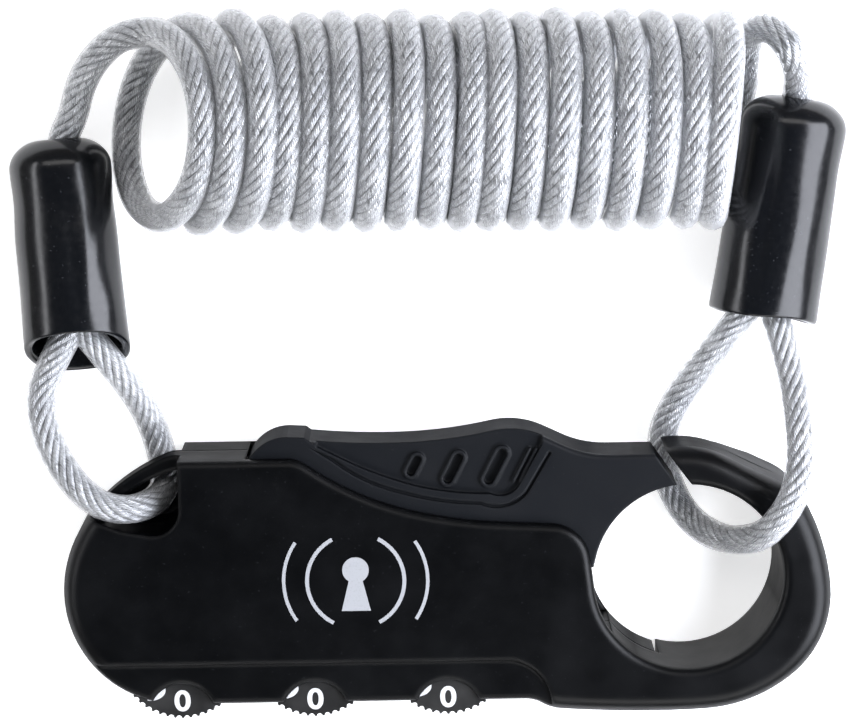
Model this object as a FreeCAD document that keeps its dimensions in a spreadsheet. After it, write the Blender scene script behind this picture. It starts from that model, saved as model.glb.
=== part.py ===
"""Cable lock: a three-dial combination lock with a carabiner ring and a coiled cable.

The lock lies on its back. X runs along the lock towards the ring, Y runs from the dials towards the
gate, Z comes out of the front face. The origin is under the middle of the lock, on the surface.
All lengths are in millimetres and all angles are in degrees.
"""
import FreeCAD, Part
import math
import os

SHEET = "dimensions"
DIMENSIONS = (
    ("thickness", 12.0, "lock thickness, back to plateau"),
    ("parting_height", 6.0, "height of the joint between the two shells"),
    ("band_height", 11.3, "height of the lower band in front of the dials"),
    ("cover_floor", 1.2, "floor thickness of the back cover"),
    ("cavity_height", 10.6, "inner face of the front shell above the dials"),
    ("plate_underside", 11.1, "inner face of the front shell above the gate"),
    ("body_top", 14.2, "Y of the ledge beside the gate"),
    ("body_bottom", -15.5, "Y of the edge below the dials"),
    ("step_line", -10.3, "Y of the step between plateau and band"),
    ("ring_x", 28.2, "X of the carabiner ring's centre"),
    ("ring_y", -0.7, "Y of the carabiner ring's centre"),
    ("ring_radius", 11.1, "radius of the opening in the ring"),
    ("nose_back", 4.0, "height of the nose's back face"),
    ("outer_edge", 2.2, "edge radius round the outside of the front"),
    ("back_edge", 1.2, "edge radius round the back cover"),
    ("inner_edge", 0.9, "edge radius round the ring and along the gate"),
    ("eye_floor", 1.0, "height of the floor under the captive loop"),
    ("eye_bar_back", 5.3, "height of the eye bar's back face"),
    ("eye_bar_front", 8.4, "height of the eye bar's front face"),
    ("gate_back", 3.9, "height of the gate's back face"),
    ("gate_front", 10.9, "height of the gate's front face"),
    ("pivot_x", -18.4, "X of the gate's pivot"),
    ("pivot_y", 11.6, "Y of the gate's pivot"),
    ("gate_end_radius", 5.1, "radius of the gate's rounded end"),
    ("grip_depth", 0.7, "depth of the thumb recess"),
    ("pin_radius", 1.4, "radius of the gate's pivot pin"),
    ("pin_fit", 0.05, "running clearance between a pin and its bore"),
    ("drive_arm", 8.3, "distance from the pivot to the drive pin"),
    ("drive_radius", 1.0, "radius of the drive pin"),
    ("bar_back", 2.2, "height of the locking bar's back face"),
    ("bar_front", 3.6, "height of the locking bar's front face"),
    ("bar_travel", 2.05, "travel of the locking bar"),
    ("dial_pitch", 15.7, "distance from one dial to the next"),
    ("dial_first_x", -31.5, "X of the first dial"),
    ("dial_y", -9.75, "Y of the dials"),
    ("dial_radius", 7.45, "outer radius of a dial"),
    ("dial_back", 4.8, "height of a dial's back face"),
    ("dial_front", 10.3, "height of a dial's front face"),
    ("dial_web", 9.3, "height of the underside of a dial's front web"),
    ("window_radius", 3.9, "radius of the arch over a dial"),
    ("window_below", 1.25, "distance from the lower edge down to the arch's centre"),
    ("dial_bore", 4.58, "radius of a dial's bore"),
    ("hub_neck", 4.5, "radius of a code hub's neck"),
    ("hub_flange", 5.0, "radius of a code hub's notched flange"),
    ("hub_back", 2.0, "height of a hub's back face"),
    ("hub_step", 4.0, "height of a hub's flange"),
    ("hub_front", 9.0, "height of a hub's front face"),
    ("post_radius", 1.5, "radius of a dial post"),
    ("cable", 3.5, "diameter of the covered cable"),
    ("coil_radius", 12.5, "outer radius of the coil"),
    ("coil_start", -37.3, "X of the coil's left end"),
    ("coil_end", 32.6, "X of the coil's right end"),
    ("coil_y", 53.2, "Y of the coil's axis"),
    ("coil_z", 12.55, "height of the coil's axis"),
    ("sleeve_width", 11.8, "width of a sleeve"),
    ("sleeve_depth", 10.6, "thickness of a sleeve"),
    ("sleeve_length", 25.5, "length of a sleeve"),
    ("sleeve_wall", 1.1, "wall of a sleeve"),
    ("ferrule_width", 8.8, "width of a crimped ferrule"),
    ("ferrule_depth", 5.6, "thickness of a crimped ferrule"),
    ("ferrule_start", 4.0, "distance from a sleeve's closed end to its ferrule"),
    ("ferrule_length", 10.0, "length of a ferrule"),
)
SCALLOPS = 50
DIALS = (0, 1, 2)
CLEARANCE = 0.3

doc = FreeCAD.newDocument("cable_lock")
sheet = doc.addObject("Spreadsheet::Sheet", SHEET)
for row, (alias, value, meaning) in enumerate(DIMENSIONS, start=1):
    sheet.set(f"A{row}", meaning)
    sheet.set(f"B{row}", str(value))
    sheet.setAlias(f"B{row}", alias)
doc.recompute()

pieces = []


# ---------------------------------------------------------------- reading the sheet

def size(alias):
    """Value of one driving dimension."""
    return float(sheet.get(alias))


def cell(alias):
    """Expression that reads one driving dimension."""
    return f"{SHEET}.{alias}"


def dial_x(index):
    return size("dial_first_x") + index * size("dial_pitch")


def ring_point(angle, extra=0.0):
    """Point on the ring's opening, or outside it by the extra radius."""
    radius = size("ring_radius") + extra
    turn = math.radians(angle)
    return (size("ring_x") + radius * math.cos(turn), size("ring_y") + radius * math.sin(turn))


def ring_angle_at_x(x):
    """Angle of the lower point of the ring's opening that has this X."""
    return -math.degrees(math.acos((x - size("ring_x")) / size("ring_radius")))


# ---------------------------------------------------------------- outlines

def chain(start, *steps):
    """Lines and arcs from start through the steps, closed by a line if they don't meet.

    A step of two numbers is a straight line to that point. A step of two numbers and a heading, None for
    the direction of the edge before it, is an arc that leaves in that heading. A step of four numbers is
    an arc through the first point to the second.
    """
    edges = []
    here = FreeCAD.Vector(*start, 0)
    first = here
    direction = None
    for step in steps:
        there = FreeCAD.Vector(*step[-2:], 0) if len(step) == 4 else FreeCAD.Vector(*step[:2], 0)
        chord = there - here
        if len(step) == 2:
            edges.append(Part.LineSegment(here, there))
            direction = FreeCAD.Vector(chord).normalize()
        else:
            if len(step) == 4:
                middle = FreeCAD.Vector(*step[:2], 0)
            else:
                if step[2] is not None:
                    heading = math.radians(step[2])
                    direction = FreeCAD.Vector(math.cos(heading), math.sin(heading), 0)
                turn = math.atan2(direction.cross(chord).z, direction.dot(chord))
                outwards = FreeCAD.Vector(chord.y, -chord.x, 0)
                middle = here + chord * 0.5 + outwards * (0.5 * math.tan(0.5 * turn))
            arc = Part.Arc(here, middle, there)
            edges.append(arc)
            direction = FreeCAD.Vector(arc.tangent(arc.LastParameter)[0])
            if direction.dot(there - middle) < 0:
                direction = direction * -1
        here = there
    if (here - first).Length > 1e-6:
        edges.append(Part.LineSegment(here, first))
    return edges


def polygon(*points):
    return chain(points[0], *points[1:])


def circle(x, y, radius):
    return [Part.Circle(FreeCAD.Vector(x, y, 0), FreeCAD.Vector(0, 0, 1), radius)]


def ellipse(width, depth):
    return [Part.Ellipse(FreeCAD.Vector(0, 0, 0), 0.5 * width, 0.5 * depth)]


def obround(x, y, length, width, lean):
    """A slot outline whose long axis leans from +Y towards +X."""
    turn = math.radians(lean)
    along = FreeCAD.Vector(math.sin(turn), math.cos(turn), 0)
    across = FreeCAD.Vector(math.cos(turn), -math.sin(turn), 0)
    middle = FreeCAD.Vector(x, y, 0)
    half = 0.5 * (length - width)
    right_top = middle + along * half + across * (0.5 * width)
    left_top = middle + along * half - across * (0.5 * width)
    left_bottom = middle - along * half - across * (0.5 * width)
    right_bottom = middle - along * half + across * (0.5 * width)
    return [
        Part.Arc(right_top, middle + along * (0.5 * length), left_top),
        Part.LineSegment(left_top, left_bottom),
        Part.Arc(left_bottom, middle - along * (0.5 * length), right_bottom),
        Part.LineSegment(right_bottom, right_top),
    ]


# Left end of both shells, from the ledge round to the edge below the dials.
LEFT_END = (
    (-31.2, 14.2),
    (-33.0, 13.85, None),
    (-40.6, 8.8, None),
    (-45.0, -1.0, None),
    (-42.4, -10.0, None),
    (-31.7, size("body_bottom"), None),
)
# From below the third dial to the hook's lowest stretch.
HOOK_ROOT = ((9.0, size("body_bottom")), (11.0, -16.05, None), (13.2, -16.75, None), (24.7, -17.2, None))
# Outside of the hook, then its nose, up to the ring's opening.
HOOK_OUTSIDE = (
    (30.2, -17.05, None),
    (40.3, -13.2, None),
    (45.0, -2.4, None),
    (42.3, 7.2, None),
    (38.9, 10.4, None),
    (32.8, 13.4, None),
    (25.5, 14.55, None),
)
NOSE_ANGLE = 88.0
MOUTH_ANGLE = 183.6
# Top edge of the plateau, from the ring back to the ledge.
PLATEAU_EDGE = (
    (16.7, 1.9),
    (12.3, 6.0, None),
    (6.5, 6.3, None),
    (-3.1, 7.6, None),
    (-16.2, 13.5, None),
    (-18.7, 14.2, None),
)
LEDGE_END = (-24.0, size("body_top"))
COVER_END_X = 24.7
HOOK_BACK_X = 25.2


def front_outline():
    """Silhouette of the front shell and the hook, a C round the ring."""
    middle = 0.5 * (NOSE_ANGLE + MOUTH_ANGLE - 360.0)
    ring = (*ring_point(middle), *ring_point(MOUTH_ANGLE))
    return chain(
        LEDGE_END, *LEFT_END, *HOOK_ROOT, *HOOK_OUTSIDE,
        ring_point(NOSE_ANGLE), ring, *PLATEAU_EDGE,
    )


def hook_back_outline():
    """Back half of the hook, right of the slit."""
    last = ring_angle_at_x(HOOK_BACK_X)
    middle = 0.5 * (NOSE_ANGLE + last)
    ring = (*ring_point(middle), *ring_point(last))
    return chain((HOOK_BACK_X, -17.2), HOOK_OUTSIDE[0][:2], *HOOK_OUTSIDE[1:], ring_point(NOSE_ANGLE), ring)


def cover_outline():
    """Silhouette of the back cover, left of the slit."""
    first = ring_angle_at_x(COVER_END_X) + 360.0
    ring = (*ring_point(0.5 * (first + MOUTH_ANGLE)), *ring_point(MOUTH_ANGLE))
    return chain(
        LEDGE_END, *LEFT_END, *HOOK_ROOT, ring_point(first), ring,
        (16.7, 1.9), (13.0, 8.5), (8.0, 12.4), (-14.0, 13.6), (-16.0, 14.2),
    )


def cavity_outline():
    """Hollow for the mechanism: a wall in from the body, open along the gate."""
    return chain(
        (-29.6, 12.4), (-23.8, 12.4), (-23.15, 14.3), (-23.15, 19.0), (19.2, 19.0), (19.2, -7.4),
        (17.3, -7.4), (17.3, -14.0), (-33.0, -14.0), (-40.5, -9.7, -43.2, -2.0), (-42.2, 3.6), (-29.6, 3.6),
    )


def eye_front_outline():
    """Sunk area where the cable crosses in front of the eye bar."""
    return chain(
        (-31.1, 19.0), (-31.1, 8.6), (-32.1, 6.2, -34.6, 5.4), (-37.9, 6.0), (-41.0, 7.2), (-47.0, 7.6),
        (-47.0, 19.0),
    )


def eye_hole_outline():
    """Hole between the eye bar and the body."""
    return chain(
        (-31.1, 12.6), (-31.1, 8.6), (-32.1, 6.2, -34.6, 5.4), (-37.9, 6.0), (-40.2, 7.0),
        (-35.9, 10.65, -31.1, 12.6),
    )


def eye_channel_outline():
    """Space behind the eye bar, open to the outside."""
    return chain(
        (-31.1, 19.0), (-31.1, 8.6), (-32.1, 6.2, -34.6, 5.4), (-37.9, 6.0), (-40.4, 6.8), (-47.0, 12.0),
        (-47.0, 19.0),
    )


def scalloped_outline():
    """Rim of a dial: shallow hollows with rounded crests between them."""
    crest = 360.0 / SCALLOPS * 0.28
    hollow = 360.0 / SCALLOPS * 0.72
    depth = 0.32

    def rim(angle, radius):
        turn = math.radians(angle)
        return FreeCAD.Vector(radius * math.cos(turn), radius * math.sin(turn), 0)

    edges = []
    outer = size("dial_radius")
    for index in range(SCALLOPS):
        start = 90.0 + index * 360.0 / SCALLOPS - 0.5 * crest
        edges.append(Part.Arc(rim(start, outer), rim(start + 0.5 * crest, outer), rim(start + crest, outer)))
        after = start + crest
        edges.append(Part.Arc(
            rim(after, outer), rim(after + 0.5 * hollow, outer - depth), rim(after + hollow, outer)))
    return edges


# ---------------------------------------------------------------- features

def new_body(label):
    body = doc.addObject("PartDesign::Body", label)
    body.Label = label
    pieces.append(body)
    return body


def add_sketch(body, name, geometry, height, role="XY_Plane"):
    """Sketch on one of the body's own planes, raised to a height given as an expression."""
    sketch = body.newObject("Sketcher::SketchObject", f"{body.Label}_{name}_sketch")
    plane = next(item for item in body.Origin.OriginFeatures if item.Role == role)
    sketch.AttachmentSupport = [(plane, "")]
    sketch.MapMode = "FlatFace"
    sketch.setExpression("AttachmentOffset.Base.z", height)
    sketch.addGeometry(geometry, False)
    return sketch


def add_pad(body, name, geometry, bottom, top):
    pad = body.newObject("PartDesign::Pad", f"{body.Label}_{name}")
    pad.Profile = add_sketch(body, name, geometry, bottom)
    pad.setExpression("Length", f"({top}) - ({bottom})")
    doc.recompute()
    return pad


def add_pocket(body, name, geometry, bottom, top, role="XY_Plane"):
    """Cut downwards from the top height to the bottom height, and make sure that it cuts."""
    before = body.Shape.Volume
    sketch = add_sketch(body, name, geometry, top, role)
    pocket = body.newObject("PartDesign::Pocket", f"{body.Label}_{name}")
    pocket.Profile = sketch
    pocket.setExpression("Length", f"({top}) - ({bottom})")
    doc.recompute()
    if not body.Shape.Volume < before - 1e-3:
        raise RuntimeError(f"{pocket.Name} cuts nothing")
    return pocket


def add_fillet(body, name, radius, chosen):
    """Round the edges of the body for which chosen(edge) is true."""
    base = body.Tip
    names = [f"Edge{number}" for number, edge in enumerate(base.Shape.Edges, start=1) if chosen(edge)]
    fillet = body.newObject("PartDesign::Fillet", f"{body.Label}_{name}")
    fillet.Base = (base, names)
    fillet.setExpression("Radius", radius)
    doc.recompute()
    if not names or "Invalid" in fillet.State or not fillet.Shape.isValid():
        raise RuntimeError(f"{fillet.Name} failed on {names}")
    return fillet


def flat_at(edge, height):
    """True for an edge that lies at one height."""
    box = edge.BoundBox
    return abs(box.ZMin - height) < 1e-4 and abs(box.ZMax - height) < 1e-4


def ring_distance(point):
    return math.hypot(point.x - size("ring_x"), point.y - size("ring_y"))


def place(item, x="0", y="0", z="0"):
    """Set a primitive's position from three expressions."""
    for axis, expression in (("x", x), ("y", y), ("z", z)):
        item.setExpression(f"Placement.Base.{axis}", expression)
    return item


def add_cylinder(name, radius, bottom, top, x, y):
    item = doc.addObject("Part::Cylinder", name)
    item.setExpression("Radius", radius)
    item.setExpression("Height", f"({top}) - ({bottom})")
    return place(item, x, y, bottom)


def add_box(name, x, y, bottom, length, width, top):
    item = doc.addObject("Part::Box", name)
    item.setExpression("Length", length)
    item.setExpression("Width", width)
    item.setExpression("Height", f"({top}) - ({bottom})")
    return place(item, x, y, bottom)


def cut_from(label, base, *tools):
    """Base less the tools, as one named piece or as a step towards one."""
    for number, tool in enumerate(tools, start=1):
        item = doc.addObject("Part::Cut", label if number == len(tools) else f"{label}_step_{number}")
        item.Base = base
        item.Tool = tool
        base = item
    base.Label = label
    return base


def join(label, *parts):
    item = doc.addObject("Part::MultiFuse", label)
    item.Shapes = list(parts)
    item.Label = label
    return item


def gather(label, *parts):
    """Separate identical solids that share one node."""
    item = doc.addObject("Part::Compound", label)
    item.Links = list(parts)
    item.Label = label
    return item


def keep(item):
    pieces.append(item)
    return item


# ---------------------------------------------------------------- shells

# Screw positions, clear of the dials, the gate and the ring.
SCREW_PLACES = ((-40.0, 0.4), (-27.4, 8.4), (12.2, -13.0), (20.8, -13.7))
BOSS_RADIUS = 2.1
SCREW_RADIUS = 0.9
HEAD_RADIUS = 1.7
GUIDE_PLACES = ((-24.0, -1.0), (-5.6, -1.0))
GUIDE_RADIUS = 0.8


def build_front_housing():
    body = new_body("front_housing")
    front = cell("thickness")
    parting = cell("parting_height")
    add_pad(body, "shell", front_outline(), parting, front)
    add_pad(body, "hook_back", hook_back_outline(), "0", parting)
    relief = polygon((10.0, -2.0), (10.0, size("nose_back")), (31.5, size("nose_back")), (38.8, -2.0))
    add_pocket(body, "nose_relief", relief, "-30", "-2", "XZ_Plane")
    add_pocket(body, "eye_front", eye_front_outline(), cell("eye_bar_front"), front)
    round_front_housing(body)
    band = chain(
        (-47.0, size("step_line")), (6.6, size("step_line")), (12.0, -16.3, None), (12.0, -18.5),
        (-47.0, -18.5))
    add_pocket(body, "band", band, cell("band_height"), front)
    add_fillet(body, "step_edge", "0.3", on_step)
    add_pocket(body, "eye_hole", eye_hole_outline(), parting, cell("eye_bar_front"))
    add_pocket(body, "cavity", cavity_outline(), parting, cell("cavity_height"))
    sweep = polygon(
        (-23.15, 19.0), (-23.15, 14.3), (-23.8, 12.4), (-23.8, 5.6), (-15.6, 4.6), (-2.0, -0.8),
        (9.0, -5.0), (11.4, -8.9), (17.3, -8.9), (17.3, -7.4), (19.2, -7.4), (19.2, 19.0))
    add_pocket(body, "gate_sweep", sweep, cell("cavity_height"), cell("plate_underside"))
    for index in DIALS:
        room = circle(dial_x(index), size("dial_y"), size("dial_radius") + CLEARANCE)
        add_pocket(body, f"dial_room_{index + 1}", room, parting, cell("cavity_height"))
        window = circle(dial_x(index), size("body_bottom") - size("window_below"), size("window_radius"))
        add_pocket(body, f"window_{index + 1}", window, cell("cavity_height"), front)
        add_fillet(body, f"window_edge_{index + 1}", "0.6", window_edge(index))
    bosses = [item for x, y in SCREW_PLACES for item in circle(x, y, BOSS_RADIUS)]
    add_pad(body, "screw_bosses", bosses, parting, cell("cavity_height"))
    pilots = [item for x, y in SCREW_PLACES for item in circle(x, y, SCREW_RADIUS)]
    add_pocket(body, "pilot_holes", pilots, parting, "9.6")
    pin = circle(size("pivot_x"), size("pivot_y"), size("pin_radius"))
    add_pocket(body, "pin_seat", pin, cell("plate_underside"), "11.5")


def on_step(edge):
    """True for the plateau's long edge above the band."""
    return flat_at(edge, size("thickness")) and abs(edge.CenterOfMass.y - size("step_line")) < 0.1


def on_gate_top(edge):
    """True for the gate's long front edge, the one farthest from the dials."""
    middle = edge.CenterOfMass
    return flat_at(edge, size("gate_front")) and middle.y > 13.5 and -15.0 < middle.x < 23.0


def window_edge(index):
    """Chooser for the front edge of one dial window."""
    def chosen(edge):
        middle = edge.CenterOfMass
        near = abs(middle.x - dial_x(index)) < 4.5 and -15.6 < middle.y < -11.5
        return near and flat_at(edge, size("band_height")) and edge.Length > 5.0
    return chosen


def round_front_housing(body):
    """Edge radii: large round the outside of the hook, small in the ring and along the gate."""
    front = size("thickness")

    def on_outside(edge):
        middle = edge.CenterOfMass
        left = middle.x < -42.0 or middle.y < -12.0
        right = middle.x > 25.0 and ring_distance(middle) > size("ring_radius") + 2.2
        return flat_at(edge, front) and (left or right)

    def on_inside(edge):
        middle = edge.CenterOfMass
        by_gate = middle.y > 1.0 and -23.9 < middle.x < 17.2
        by_ring = middle.x > 17.2 and ring_distance(middle) < size("ring_radius") - 2.0
        return flat_at(edge, front) and (by_gate or by_ring)

    add_fillet(body, "outer_edge", cell("outer_edge"), on_outside)
    add_fillet(body, "inner_edge", cell("inner_edge"), on_inside)


def build_back_cover():
    body = new_body("back_cover")
    parting = cell("parting_height")
    floor = cell("cover_floor")
    add_pad(body, "shell", cover_outline(), "0", parting)
    add_fillet(body, "back_edge", cell("back_edge"), lambda edge: flat_at(edge, 0.0) and edge.Length > 1.5)
    add_pocket(body, "cavity", cavity_outline(), floor, parting)
    add_pocket(body, "eye_hole", eye_hole_outline(), cell("eye_floor"), parting)
    add_pocket(body, "eye_channel", eye_channel_outline(), cell("eye_floor"), cell("eye_bar_back"))
    lip = chain((-31.1, 19.0), (-31.1, 12.7), (-35.6, 11.1, -39.4, 8.0), (-47.0, 4.0), (-47.0, 19.0))
    add_pocket(body, "eye_lip", lip, "0", cell("eye_floor"))
    for index in DIALS:
        room = circle(dial_x(index), size("dial_y"), size("dial_radius") + CLEARANCE)
        add_pocket(body, f"dial_room_{index + 1}", room, f"{cell('dial_back')} - {CLEARANCE}", parting)
        hub_room = circle(dial_x(index), size("dial_y"), size("hub_flange") + 0.25)
        add_pocket(body, f"hub_room_{index + 1}", hub_room, floor, f"{cell('dial_back')} - {CLEARANCE}")
    bosses = [item for x, y in SCREW_PLACES for item in circle(x, y, BOSS_RADIUS)]
    add_pad(body, "screw_bosses", bosses, floor, parting)
    guides = [item for x, y in GUIDE_PLACES for item in circle(x, y, GUIDE_RADIUS)]
    add_pad(body, "bar_guides", guides, floor, "3.7")
    holes = [item for x, y in SCREW_PLACES for item in circle(x, y, SCREW_RADIUS + 0.15)]
    add_pocket(body, "screw_holes", holes, "0", parting)
    heads = [item for x, y in SCREW_PLACES for item in circle(x, y, HEAD_RADIUS + 0.15)]
    add_pocket(body, "head_seats", heads, "0", "1.1")
    pin = circle(size("pivot_x"), size("pivot_y"), size("pin_radius"))
    add_pocket(body, "pin_seat", pin, "0.4", floor)
    for index in DIALS:
        seat = circle(dial_x(index), size("dial_y"), size("post_radius"))
        add_pocket(body, f"post_seat_{index + 1}", seat, "0.4", floor)


def build_cover_screws():
    screws = []
    for number, (x, y) in enumerate(SCREW_PLACES, start=1):
        shank = add_cylinder(f"screw_shank_{number}", str(SCREW_RADIUS), "1.0", "9.4", str(x), str(y))
        head = add_cylinder(f"screw_head_{number}", str(HEAD_RADIUS), "0.1", "1.1", str(x), str(y))
        slot_a = add_box(f"screw_slot_a_{number}", str(x - 1.0), str(y - 0.2), "-0.2", "2.0", "0.4", "0.6")
        slot_b = add_box(f"screw_slot_b_{number}", str(x - 0.2), str(y - 1.0), "-0.2", "0.4", "2.0", "0.6")
        whole = join(f"screw_blank_{number}", shank, head)
        screws.append(cut_from(f"screw_{number}", whole, slot_a, slot_b))
    keep(gather("cover_screws", *screws))


# ---------------------------------------------------------------- gate

GATE_SLOTS = ((-3.7, 13.0, 3.4, 1.8), (0.85, 12.6, 4.7, 1.9), (5.75, 12.75, 5.4, 2.0))
GATE_SLOT_LEAN = 27.0
GATE_SLOT_RIM = 0.35


def gate_outline():
    x = size("pivot_x")
    y = size("pivot_y")
    end = size("gate_end_radius")
    tip = ring_point(97.0)
    heel = ring_point(164.5)
    return chain(
        (x - end, y), (x - 0.72 * end, y + 0.694 * end, x, y + end),
        (-16.4, 16.6), (-15.8, 16.15), (-5.3, 15.7, -6.0), (5.4, 16.95, None), (11.4, 16.3, None),
        (13.6, 15.25, None), (18.9, 14.0, None), (24.3, 14.0), tip, (*ring_point(130.0), *heel),
        (17.1, 0.6), (15.0, 0.6), (10.5, 3.2), (0.0, 4.8), (-9.0, 6.4), (x + 0.57 * end, y - 0.822 * end),
        (x - 0.42 * end, y - 0.9075 * end, x - end, y),
    )


def grip_outline():
    """Thumb recess: an S-shaped lower rim and a slanted right end, open at the top."""
    return chain(
        (-15.0, 19.0), (-15.0, 15.5), (-11.1, 13.5), (-7.9, 12.1, -3.0, 10.5), (1.6, 9.75, 5.1, 9.6),
        (7.4, 9.55, 8.6, 10.7), (11.2, 15.4), (11.2, 19.0),
    )


def grip_line_outline():
    """Narrow line pressed in along the recess's rim."""
    return chain(
        (-15.9, 15.5), (-13.2, 13.75), (-9.75, 11.5, -5.3, 9.8), (-0.7, 8.75, 3.9, 8.35),
        (8.0, 8.4, 9.5, 9.6), (12.3, 14.4), (12.0, 14.5), (9.25, 9.8),
        (7.9, 8.75, 3.95, 8.7), (-0.65, 9.1, -5.15, 10.15),
        (-9.55, 11.8, -12.95, 14.05),
    )


def build_gate():
    body = new_body("gate")
    back = cell("gate_back")
    front = cell("gate_front")
    recess = f"{cell('gate_front')} - {cell('grip_depth')}"
    add_pad(body, "plate", gate_outline(), back, front)
    add_fillet(body, "front_edge", "0.6", on_gate_top)
    add_pocket(body, "grip", grip_outline(), recess, front)
    add_pocket(body, "grip_line", grip_line_outline(), f"{front} - 0.35", front)
    for number, (x, y, length, width) in enumerate(GATE_SLOTS, start=1):
        rim = obround(x, y, length, width, GATE_SLOT_LEAN)
        add_pad(body, f"slot_rim_{number}", rim, recess, f"{recess} + {GATE_SLOT_RIM}")
        hollow = obround(x, y, length - 0.8, width - 0.8, GATE_SLOT_LEAN)
        add_pocket(body, f"slot_{number}", hollow, f"{recess} - 0.5", f"{recess} + {GATE_SLOT_RIM}")
    for number in (1, 2):
        shift = 0.75 * number
        ridge = obround(10.1 - shift + 0.2, 12.9, 4.6, 0.34, GATE_SLOT_LEAN)
        add_pad(body, f"grip_ridge_{number}", ridge, recess, f"{recess} + 0.45")
    bore = circle(size("pivot_x"), size("pivot_y"), size("pin_radius") + size("pin_fit"))
    add_pocket(body, "pivot_bore", bore, back, front)
    seat = circle(size("pivot_x") + size("drive_arm"), size("pivot_y"), size("drive_radius"))
    add_pocket(body, "drive_seat", seat, back, f"{back} + 3")


def build_gate_fittings():
    x = cell("pivot_x")
    y = cell("pivot_y")
    keep(add_cylinder("gate_pivot_pin", cell("pin_radius"), "0.4", "11.5", x, y))
    keep(add_cylinder(
        "gate_drive_pin", cell("drive_radius"), f"{cell('bar_back')} + 0.1", f"{cell('gate_back')} + 3",
        f"{x} + {cell('drive_arm')}", y))
    build_gate_spring(x, y)


def build_gate_spring(x, y):
    """Torsion spring round the pivot pin: three close turns and two legs."""
    wire = 0.32
    turn_radius = 2.35
    turns = []
    for number in range(3):
        turn = doc.addObject("Part::Torus", f"spring_turn_{number + 1}")
        turn.Radius1 = turn_radius
        turn.Radius2 = wire
        turns.append(place(turn, x, y, f"{1.75 + number * 1.5 * wire}"))
    for name, heading, height in (("spring_leg_fixed", 200.0, 1.75), ("spring_leg_moving", -12.0, 2.71)):
        leg = doc.addObject("Part::Cylinder", name)
        leg.Radius = wire
        leg.Height = 5.2
        side = math.radians(heading - 90.0)
        sideways = FreeCAD.Vector(turn_radius * math.cos(side), turn_radius * math.sin(side), 0)
        middle = FreeCAD.Vector(size("pivot_x"), size("pivot_y"), height) + sideways
        ahead = FreeCAD.Vector(math.cos(math.radians(heading)), math.sin(math.radians(heading)), 0)
        leg.Placement = FreeCAD.Placement(middle, FreeCAD.Rotation(FreeCAD.Vector(0, 0, 1), ahead))
        turns.append(leg)
    keep(join("gate_spring", *turns))


# ---------------------------------------------------------------- locking mechanism

PRONG_WIDTH = 2.2
PRONG_TIP_Y = -4.45
RAIL_BOTTOM_Y = -2.4
RAIL_TOP_Y = 0.9


def build_locking_bar():
    """Rail with three prongs for the hub notches and an arm that the gate's drive pin moves."""
    body = new_body("locking_bar")
    back = cell("bar_back")
    front = cell("bar_front")
    half = 0.5 * PRONG_WIDTH
    pin_x = size("pivot_x") + size("drive_arm")
    pin_y = size("pivot_y")
    points = [(dial_x(0) - 3.0, RAIL_TOP_Y), (dial_x(0) - 3.0, RAIL_BOTTOM_Y)]
    for index in DIALS:
        x = dial_x(index)
        points += [(x - half, RAIL_BOTTOM_Y), (x - half, PRONG_TIP_Y), (x + half, PRONG_TIP_Y),
                   (x + half, RAIL_BOTTOM_Y)]
    points += [(dial_x(2) + 2.4, RAIL_BOTTOM_Y), (dial_x(2) + 2.4, RAIL_TOP_Y), (pin_x + 2.6, RAIL_TOP_Y),
               (pin_x + 2.6, pin_y + 2.2), (pin_x - 2.6, pin_y + 2.2), (pin_x - 2.6, RAIL_TOP_Y)]
    add_pad(body, "plate", polygon(*points), back, front)
    fit = 2.0 * (size("drive_radius") + 0.06)
    add_pocket(body, "drive_slot", obround(pin_x - 0.1, pin_y, fit + 0.9, fit, 90.0), back, front)
    for number, (x, y) in enumerate(GUIDE_PLACES, start=1):
        width = 2.0 * (GUIDE_RADIUS + 0.1)
        middle = y + 0.5 * size("bar_travel")
        slot = obround(x, middle, width + size("bar_travel") + 0.4, width, 0.0)
        add_pocket(body, f"guide_slot_{number}", slot, back, front)


def build_dials():
    for index in DIALS:
        body = new_body(f"dial_{index + 1}")
        rim = scalloped_outline()
        body.Placement.Base = FreeCAD.Vector(dial_x(index), size("dial_y"), 0)
        add_pad(body, "disc", rim, cell("dial_back"), cell("dial_front"))
        add_pocket(body, "bore", circle(0, 0, size("dial_bore")), cell("dial_back"), cell("dial_web"))
        add_pocket(body, "centre", circle(0, 0, 1.9), cell("dial_web"), cell("dial_front"))


def build_code_hubs():
    """Notched hubs inside the dials, with their washers and posts."""
    posts = []
    for index in DIALS:
        x = dial_x(index)
        y = size("dial_y")
        number = index + 1
        body = new_body(f"code_hub_{number}")
        add_pad(body, "flange", circle(x, y, size("hub_flange")), cell("hub_back"), cell("hub_step"))
        add_pad(body, "neck", circle(x, y, size("hub_neck")), cell("hub_step"), cell("hub_front"))
        half = 0.5 * PRONG_WIDTH + CLEARANCE
        notch = polygon((x - half, y + 3.0), (x + half, y + 3.0), (x + half, y + 7.0), (x - half, y + 7.0))
        add_pocket(body, "notch", notch, cell("hub_back"), f"{cell('hub_step')} - 0.1")
        bore = circle(x, y, size("post_radius") + size("pin_fit"))
        add_pocket(body, "bore", bore, cell("hub_back"), cell("hub_front"))
        build_hub_washer(number, x, y)
        posts.append(add_cylinder(f"post_{number}", cell("post_radius"), "0.4", "9.25", str(x), str(y)))
    keep(gather("dial_posts", *posts))


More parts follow.
